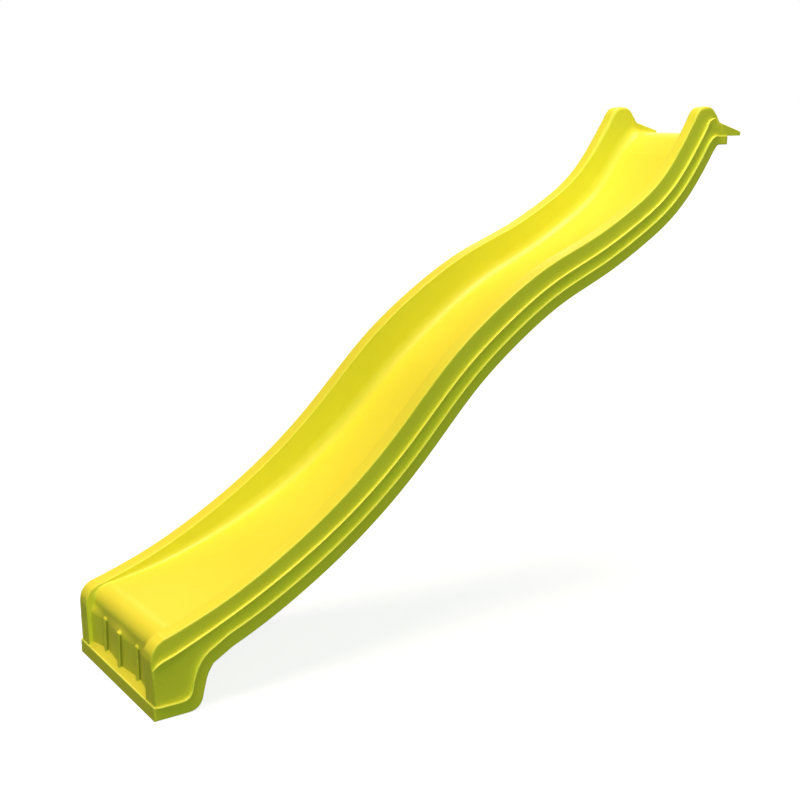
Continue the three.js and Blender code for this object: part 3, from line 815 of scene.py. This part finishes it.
def underside_rows():
    """Closed thin sheet along the lower edge line, with a shallow raised pan down its middle."""
    front, rear = SKIN + GAP, HOOK_BACK_Y - SKIN - GAP
    base = along([(front, 0), HEEL_RISE[0]], SHEET_BASE_ROWS)
    foot = shoulder_stretch(SHEET_FOOT_ROWS)["lower"]
    wave = wave_stretch(SHEET_WAVE_ROWS)["lower"]
    top = along(list(ear_stretch(SHEET_EAR_ROWS)["lower"]) + [(rear, HOOK_Z)], SHEET_TOP_ROWS)
    line = np.concatenate([base[:-1], foot[:-1], wave[:-1], top])
    line[:, 0] = np.clip(line[:, 0], front, rear)
    rows = []
    for p, m in zip(line, normals(line)):
        edge = half_width(p[0]) + 2 * LEDGE_STEP - SKIN - GAP
        flat = edge - SHEET_BEVEL
        fade = rising(p[0], *PAN_COMES) - rising(p[0], *PAN_GOES)
        half = [(x, PAN_RISE * fade * falling(x, *PAN_EDGE)) for x in UNDERSIDE_X]
        half += [(flat, 0.0), (edge, SHEET_BEVEL)]
        lower = [(-x, h) for x, h in reversed(half[1:])] + half
        upper = [(x * (flat / abs(x) if abs(x) >= edge - 1 else 1), h + SKIN) for x, h in reversed(lower)]
        rows.append([(x, p[0] + m[0] * h, p[1] + m[1] * h) for x, h in lower + upper])
    return rows


upper_points, upper_painted_light, upper_bare = upper_rows()
slide = grid_object("slide_upper_skin", upper_points, painted_light=upper_painted_light, bare=upper_bare)
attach(slide, "root")
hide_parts("upper_skin")

underside = grid_object("slide_underside_skin", underside_rows(), closed=True)
close_ends(underside)
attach(underside, "root")
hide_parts("underside_skin")

thick = slide.modifiers.new("skin", "SOLIDIFY")
thick.thickness = DRAWN_SKIN / 1000
thick.offset = -1
thick.use_even_offset = False
thick.use_rim = True
apply_modifiers(slide)

# ---------------------------------------------------------------- screws and washers
SIDES = 48
THREAD_PITCH = 2.2
THREAD_DEPTH = 0.65
THREAD_RIDGE = 0.22
THREAD_ROW = 0.2
THREAD_RADIUS = 2.6
THREAD_FROM, THREAD_TO = -43.5, -8.0
TIP_Z = -45.0
TIP_TAPER = 8.0
DRIVE_LOBES = 6
DRIVE_WAVE = 0.16
CHAMFER = 0.09
WASHER_RADIUS, WASHER_CONE_TOP, WASHER_CONE_FOOT, WASHER_SOFT = 10.0, 6.45, 5.15, 0.3
POCKET_FLOOR, POCKET_RADIUS, HOLE_RADIUS = -2.0, 10.6, 4.9


def turned(name, profile, centre):
    """Solid turned round an upright axis at centre, from (radius, height, kind) points in millimetres."""
    rows = []
    for r, z, kind in profile:
        row = []
        for k in range(SIDES):
            a = 2 * math.pi * k / SIDES
            radius = r
            if kind == "drive":
                radius = r * (1 - DRIVE_WAVE + DRIVE_WAVE * math.cos(DRIVE_LOBES * a))
            if kind == "thread":
                turn = (z / THREAD_PITCH - a / (2 * math.pi)) % 1.0
                ridge = max(0.0, 1 - abs(turn - 0.5) / THREAD_RIDGE)
                radius = r - THREAD_DEPTH * (1 - ridge)
            row.append((centre[0] + radius * math.cos(a), centre[1] + radius * math.sin(a), centre[2] + z))
        rows.append(row)
    obj = grid_object(name, rows, closed=True)
    close_ends(obj)
    return obj


def plain(points):
    return [(r, z, "plain") for r, z in points]


def washer_profile(height):
    outer, soft = WASHER_RADIUS, WASHER_SOFT
    return plain([(WASHER_CONE_FOOT, 0.0), (outer - soft, 0.0), (outer - CHAMFER, CHAMFER), (outer, soft),
                  (outer, height - soft), (outer - CHAMFER, height - CHAMFER), (outer - soft, height),
                  (WASHER_CONE_TOP + 0.2, height), (WASHER_CONE_TOP, height - 0.08), (WASHER_CONE_FOOT, 0.0)])


def screw_profile():
    """Tip, thread, shank, countersunk head and its six-lobed drive, as heights above the head's top."""
    points = plain([(0.02, TIP_Z), (0.5, TIP_Z + 1)])
    z = THREAD_FROM
    while z < THREAD_TO:
        r = THREAD_RADIUS * min(1.0, 0.35 + 0.65 * (z - TIP_Z) / TIP_TAPER)
        points.append((r, z, "thread"))
        z += THREAD_ROW
    points += plain([(2.05, -7.6), (2.2, -3.9), (2.5, -3.5), (5.9, -0.12), (5.95, -0.04), (5.85, 0.0),
                     (2.3, 0.0)])
    points += [(2.0, -0.12, "drive"), (2.0, -2.0, "drive")]
    return points + plain([(0.6, -2.2), (0.02, -2.2)])


def pocket_profile():
    """Round pocket with a softened edge and the screw hole below it, as heights above the tongue's top."""
    floor, hole, pocket = POCKET_FLOOR, HOLE_RADIUS, POCKET_RADIUS
    return plain([(hole, -12.0), (hole, floor - 0.25), (hole + 0.25, floor), (pocket - 0.3, floor),
                  (pocket, floor + 0.3), (pocket, -0.55), (pocket + 0.16, -0.16), (pocket + 0.55, 0.0),
                  (pocket + 0.55, 6.0)])


zinc_pieces = []
for i in range(1, 5):
    low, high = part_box(f"tongue_washer_{i}")
    middle = (low + high) / 2 * 1000
    at = (middle.x, middle.y + ORIGIN_Y)
    cut(slide, turned("pocket", pocket_profile(), (*at, TONGUE_TOP_Z)))
    washer_foot = (*at, low.z * 1000 + PLATFORM_Z)
    washer = turned(f"washer_{i}", washer_profile((high.z - low.z) * 1000), washer_foot)
    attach(washer, "root")
    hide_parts(f"tongue_washer_{i}")
    low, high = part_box(f"tongue_screw_{i}")
    screw = turned(f"screw_{i}", screw_profile(), (*at, high.z * 1000 + PLATFORM_Z))
    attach(screw, "root")
    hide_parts(f"tongue_screw_{i}")
    zinc_pieces.append((washer, screw))
slide.data.set_sharp_from_angle(angle=math.radians(SHARP_ANGLE))


# ---------------------------------------------------------------- materials
class Graph:
    """Short way to write a material's nodes. layer is noise, then a smooth step of it."""

    def __init__(self, name):
        self.material = bpy.data.materials.new(name)
        self.material.use_nodes = True
        self.tree = self.material.node_tree
        self.bsdf = self.tree.nodes["Principled BSDF"]
        self.coords = self.tree.nodes.new("ShaderNodeTexCoord").outputs["Object"]

    def link(self, a, b):
        self.tree.links.new(a, b)

    def noise(self, scale, detail=4.0, stretch=(1, 1, 1), rough=0.55):
        place = self.tree.nodes.new("ShaderNodeMapping")
        place.inputs["Scale"].default_value = stretch
        self.link(self.coords, place.inputs["Vector"])
        noise = self.tree.nodes.new("ShaderNodeTexNoise")
        noise.inputs["Scale"].default_value = scale
        noise.inputs["Detail"].default_value = detail
        noise.inputs["Roughness"].default_value = rough
        self.link(place.outputs["Vector"], noise.inputs["Vector"])
        return noise.outputs["Fac"]

    def span(self, value, low, high, to_low=0.0, to_high=1.0):
        """Smooth step of a value from low to high."""
        step = self.tree.nodes.new("ShaderNodeMapRange")
        step.interpolation_type = "SMOOTHSTEP"
        for key, v in (("From Min", low), ("From Max", high), ("To Min", to_low), ("To Max", to_high)):
            step.inputs[key].default_value = v
        self.link(value, step.inputs["Value"])
        return step.outputs["Result"]

    def layer(self, scale, detail, low, high, to_low=0.0, to_high=1.0):
        return self.span(self.noise(scale, detail), low, high, to_low, to_high)

    def mix(self, factor, a, b):
        mix = self.tree.nodes.new("ShaderNodeMix")
        mix.data_type = "RGBA"
        for key, v in (("A", a), ("B", b)):
            if isinstance(v, tuple):
                mix.inputs[key].default_value = (*v, 1)
            else:
                self.link(v, mix.inputs[key])
        self.link(factor, mix.inputs["Factor"])
        return mix.outputs["Result"]

    def maths(self, kind, a, b):
        node = self.tree.nodes.new("ShaderNodeMath")
        node.operation = kind
        for k, v in enumerate((a, b)):
            if isinstance(v, (int, float)):
                node.inputs[k].default_value = v
            else:
                self.link(v, node.inputs[k])
        return node.outputs[0]

    def times(self, a, b):
        return self.maths("MULTIPLY", a, b)

    def bump(self, height, strength, distance, before=None):
        bump = self.tree.nodes.new("ShaderNodeBump")
        bump.inputs["Strength"].default_value = strength
        bump.inputs["Distance"].default_value = distance
        self.link(height, bump.inputs["Height"])
        if before is not None:
            self.link(before, bump.inputs["Normal"])
        return bump.outputs["Normal"]

    def attribute(self, name):
        attribute = self.tree.nodes.new("ShaderNodeAttribute")
        attribute.attribute_name = name
        return attribute.outputs["Fac"]


YELLOW = (0.93, 0.84, 0.054)
DEEP_YELLOW = (0.90, 0.785, 0.040)
# Lighter yellow of the grain and scuffs, which is also the colour of the painted highlights on edges and
# ledges
PALE_AND_HIGHLIGHT_YELLOW = (0.98, 0.98, 0.13)
UNDERSIDE_YELLOWS = ((0.86, 0.75, 0.045), (0.80, 0.67, 0.034), (0.93, 0.9, 0.15))
WASHER_GREY = (0.66, 0.67, 0.68)
SCREW_GREY = (0.60, 0.61, 0.62)
ZINC_BLOOM = (0.83, 0.84, 0.80)
PLASTIC_IOR = 1.5
PLASTIC_SPECULAR = 0.42
# How strongly each layer tells
CLOUD_SHARE, GRAIN_SHARE, BLOOM_SHARE = 0.35, 0.08, 0.3
# The first is the share of the deep yellow left in the painted shade on rib sides and pillar corners; the
# second darkens the zinc's spots
SHADE_PAINT_BRIGHTNESS, SPOT_BRIGHTNESS = 0.42, 0.72
MARK_ROUGHNESS = 0.12
# Noise layers: scale in waves to the metre, detail, and the span of the noise that tells
CLOUDS = (5.0, 5.0, 0.35, 0.65)
FINE_GRAIN = (160.0, 3.0, 0.45, 0.75)
MARK_PATCHES = (9.0, 3.0, 0.46, 0.66)
PLASTIC_SHEEN = (14.0, 4.0, 0.3, 0.7)
PLATING_SPOTS = (900.0, 4.0, 0.5, 0.72)
PLATING_BLOOM = (180.0, 3.0, 0.45, 0.7)
PLATING_SHEEN = (700.0, 4.0, 0.3, 0.7)
# Fine marks along the slide: waves to the metre on each axis, and the span of the noise that tells
MARKS_STRETCH, MARKS_SPAN = (420, 7, 7), (0.58, 0.74)
BRUSHED_STRETCH = (2500, 300, 300)
# Bumps: strength and height in metres
PEEL_SCALE, PEEL_BUMP = 330.0, (0.12, 0.0006)
MOULD_SCALE, MOULD_BUMP = 11.0, (0.25, 0.003)
MARK_BUMP = (0.15, 0.0004)
BRUSHED_BUMP = (0.2, 0.00008)


def polyethylene(name, base, deep, light, rough, scuffs):
    """Moulded polyethylene: cloudy pigment, an orange-peel skin, fine marks along the run, painted highlights
    on edges and ledges, and painted shade on rib sides and pillar corners.
    """
    g = Graph(name)
    cloud = g.layer(*CLOUDS)
    colour = g.mix(g.times(cloud, CLOUD_SHARE), base, deep)
    grain = g.layer(*FINE_GRAIN)
    colour = g.mix(g.times(grain, GRAIN_SHARE), colour, light)
    marks = g.span(g.noise(1.0, 6.0, stretch=MARKS_STRETCH, rough=0.7), *MARKS_SPAN)
    marks = g.times(marks, g.layer(*MARK_PATCHES))
    colour = g.mix(g.times(marks, scuffs), colour, light)
    # Painted highlight where the point attribute is above 0, mixed towards the lighter yellow
    light_paint_amount = g.attribute("painted_light")
    colour = g.mix(g.span(light_paint_amount, 0.0, 1.0), colour, light)
    # Painted shade where the point attribute is below 0, mixed towards a darkened deep yellow
    painted_shade_colour = tuple(SHADE_PAINT_BRIGHTNESS * c for c in deep)
    colour = g.mix(g.span(g.times(light_paint_amount, -1.0), 0.0, 1.0), colour, painted_shade_colour)
    g.link(colour, g.bsdf.inputs["Base Color"])
    sheen = g.layer(*PLASTIC_SHEEN, rough - 0.05, rough + 0.06)
    g.link(g.maths("ADD", sheen, g.times(marks, MARK_ROUGHNESS)), g.bsdf.inputs["Roughness"])
    peel = g.bump(g.noise(PEEL_SCALE, 2.0), *PEEL_BUMP)
    peel = g.bump(g.noise(MOULD_SCALE, 2.0), *MOULD_BUMP, peel)
    g.link(g.bump(marks, *MARK_BUMP, peel), g.bsdf.inputs["Normal"])
    g.bsdf.inputs["IOR"].default_value = PLASTIC_IOR
    g.bsdf.inputs["Specular IOR Level"].default_value = PLASTIC_SPECULAR
    return g.material


def zinc_plate(name, base, rough):
    """Zinc-plated steel: fine brushing, small darker spots and a slightly uneven plating."""
    g = Graph(name)
    spots = g.layer(*PLATING_SPOTS)
    colour = g.mix(spots, base, tuple(SPOT_BRIGHTNESS * c for c in base))
    bloom = g.layer(*PLATING_BLOOM)
    colour = g.mix(g.times(bloom, BLOOM_SHARE), colour, ZINC_BLOOM)
    g.link(colour, g.bsdf.inputs["Base Color"])
    g.link(g.layer(*PLATING_SHEEN, rough - 0.08, rough + 0.12), g.bsdf.inputs["Roughness"])
    g.link(g.bump(g.noise(1.0, 3.0, stretch=BRUSHED_STRETCH), *BRUSHED_BUMP), g.bsdf.inputs["Normal"])
    g.bsdf.inputs["Metallic"].default_value = 1.0
    return g.material


yellow = polyethylene("yellow_polyethylene", YELLOW, DEEP_YELLOW, PALE_AND_HIGHLIGHT_YELLOW, 0.42, 0.25)
slide.data.materials.append(yellow)
underside.data.materials.append(polyethylene("underside_polyethylene", *UNDERSIDE_YELLOWS, 0.55, 0.1))
washer_zinc = zinc_plate("washer_zinc", WASHER_GREY, 0.34)
screw_zinc = zinc_plate("screw_zinc", SCREW_GREY, 0.30)
for washer, screw in zinc_pieces:
    washer.data.materials.append(washer_zinc)
    screw.data.materials.append(screw_zinc)

# ---------------------------------------------------------------- camera, floor and light
CAMERA_AT = (3.1464, -3.2051, 0.0674)
CAMERA_TILT, CAMERA_TURN = 77.47, 56.71
CAMERA_LENS, CAMERA_SENSOR = 57.88, 36
FLOOR_Z = -PLATFORM_Z / 1000 - 0.0005
FLOOR_HALF = 40
FLOOR_MIDDLE_Y = -1
FLOOR_BOUNCE = (0.10, 0.12, 0.10, 1)
FLOOR_SEEN = (0.26, 0.27, 0.30, 1)
FLOOR_GLOW = 0.84
WHITE = (1, 1, 1, 1)
WORLD_LIGHT = (0.9, 1.0, 0.9, 1)
WORLD_STRENGTH = 0.12
# Name, direction towards the sun, strength, colour and apparent size in degrees
SUNS = [("key_overhead", (0.0, -0.02, 1.0), 1.08, (1.0, 0.755, 0.66), 36),
        ("fill_side", (0.84, -0.52, 0.12), 0.46, (0.54, 1.0, 0.52), 60),
        ("fill_rear", (-0.68, 0.72, 0.12), 0.55, (0.85, 1.0, 0.70), 60)]
SPOT_AIM = Vector((0.0, -0.12, 0.02))
SPOT_TOWARD = Vector((0.32, -0.74, 0.59))
SPOT_DISTANCE = 2.8
SPOT_WATTS = 118.0
SPOT_COLOUR = (0.95, 1.0, 1.0)
SPOT_CONE = 26
SPOT_SOFT = 0.5

scene = bpy.context.scene


def add_to_scene(obj):
    scene.collection.objects.link(obj)
    return obj


def pale_floor():
    """White to the camera and dim as a source of light, so that it throws little onto the slide."""
    material = bpy.data.materials.new("pale_floor")
    material.use_nodes = True
    tree = material.node_tree
    surface = tree.nodes["Principled BSDF"]
    path = tree.nodes.new("ShaderNodeLightPath")
    shade = tree.nodes.new("ShaderNodeMix")
    shade.data_type = "RGBA"
    shade.inputs["A"].default_value = FLOOR_BOUNCE
    shade.inputs["B"].default_value = FLOOR_SEEN
    tree.links.new(path.outputs["Is Camera Ray"], shade.inputs["Factor"])
    tree.links.new(shade.outputs["Result"], surface.inputs["Base Color"])
    glow = tree.nodes.new("ShaderNodeMath")
    glow.operation = "MULTIPLY"
    glow.inputs[1].default_value = FLOOR_GLOW
    tree.links.new(path.outputs["Is Camera Ray"], glow.inputs[0])
    tree.links.new(glow.outputs[0], surface.inputs["Emission Strength"])
    surface.inputs["Emission Color"].default_value = WHITE
    surface.inputs["Roughness"].default_value = 0.9
    surface.inputs["Specular IOR Level"].default_value = 0.0
    return material


def soft_sun(name, toward, strength, colour, spread):
    sun = bpy.data.lights.new(name, "SUN")
    sun.energy = strength * math.pi
    sun.angle = math.radians(spread)
    sun.color = colour
    holder = add_to_scene(bpy.data.objects.new(name, sun))
    holder.rotation_euler = Vector(toward).to_track_quat("Z", "Y").to_euler()


def top_spot():
    spot = bpy.data.lights.new("top_spot", "SPOT")
    spot.energy = SPOT_WATTS
    spot.color = SPOT_COLOUR
    spot.spot_size = math.radians(SPOT_CONE)
    spot.spot_blend = 1.0
    spot.shadow_soft_size = SPOT_SOFT
    holder = add_to_scene(bpy.data.objects.new("top_spot", spot))
    holder.location = SPOT_AIM + SPOT_TOWARD * SPOT_DISTANCE
    holder.rotation_euler = (holder.location - SPOT_AIM).to_track_quat("Z", "Y").to_euler()


def studio_world():
    """White to the camera, and a faint even light for everything else."""
    world = bpy.data.worlds.new("studio")
    world.use_nodes = True
    tree = world.node_tree
    light = tree.nodes["Background"]
    light.inputs["Color"].default_value = WORLD_LIGHT
    light.inputs["Strength"].default_value = WORLD_STRENGTH
    seen = tree.nodes.new("ShaderNodeBackground")
    seen.inputs["Color"].default_value = WHITE
    seen.inputs["Strength"].default_value = 1.0
    path = tree.nodes.new("ShaderNodeLightPath")
    pick = tree.nodes.new("ShaderNodeMixShader")
    tree.links.new(path.outputs["Is Camera Ray"], pick.inputs[0])
    tree.links.new(light.outputs[0], pick.inputs[1])
    tree.links.new(seen.outputs[0], pick.inputs[2])
    tree.links.new(pick.outputs[0], tree.nodes["World Output"].inputs["Surface"])
    return world


camera_data = bpy.data.cameras.new("camera")
camera_data.lens = CAMERA_LENS
camera_data.sensor_width = CAMERA_SENSOR
camera = add_to_scene(bpy.data.objects.new("camera", camera_data))
camera.location = CAMERA_AT
camera.rotation_euler = (math.radians(CAMERA_TILT), 0, math.radians(CAMERA_TURN))
scene.camera = camera

floor_mesh = bpy.data.meshes.new("floor")
bm = bmesh.new()
bmesh.ops.create_grid(bm, x_segments=2, y_segments=2, size=FLOOR_HALF)
bm.to_mesh(floor_mesh)
bm.free()
floor = add_to_scene(bpy.data.objects.new("floor", floor_mesh))
floor.location = (0, FLOOR_MIDDLE_Y, FLOOR_Z)
floor_mesh.materials.append(pale_floor())

for sun in SUNS:
    soft_sun(*sun)
top_spot()
scene.world = studio_world()
scene.view_settings.view_transform = "Standard"
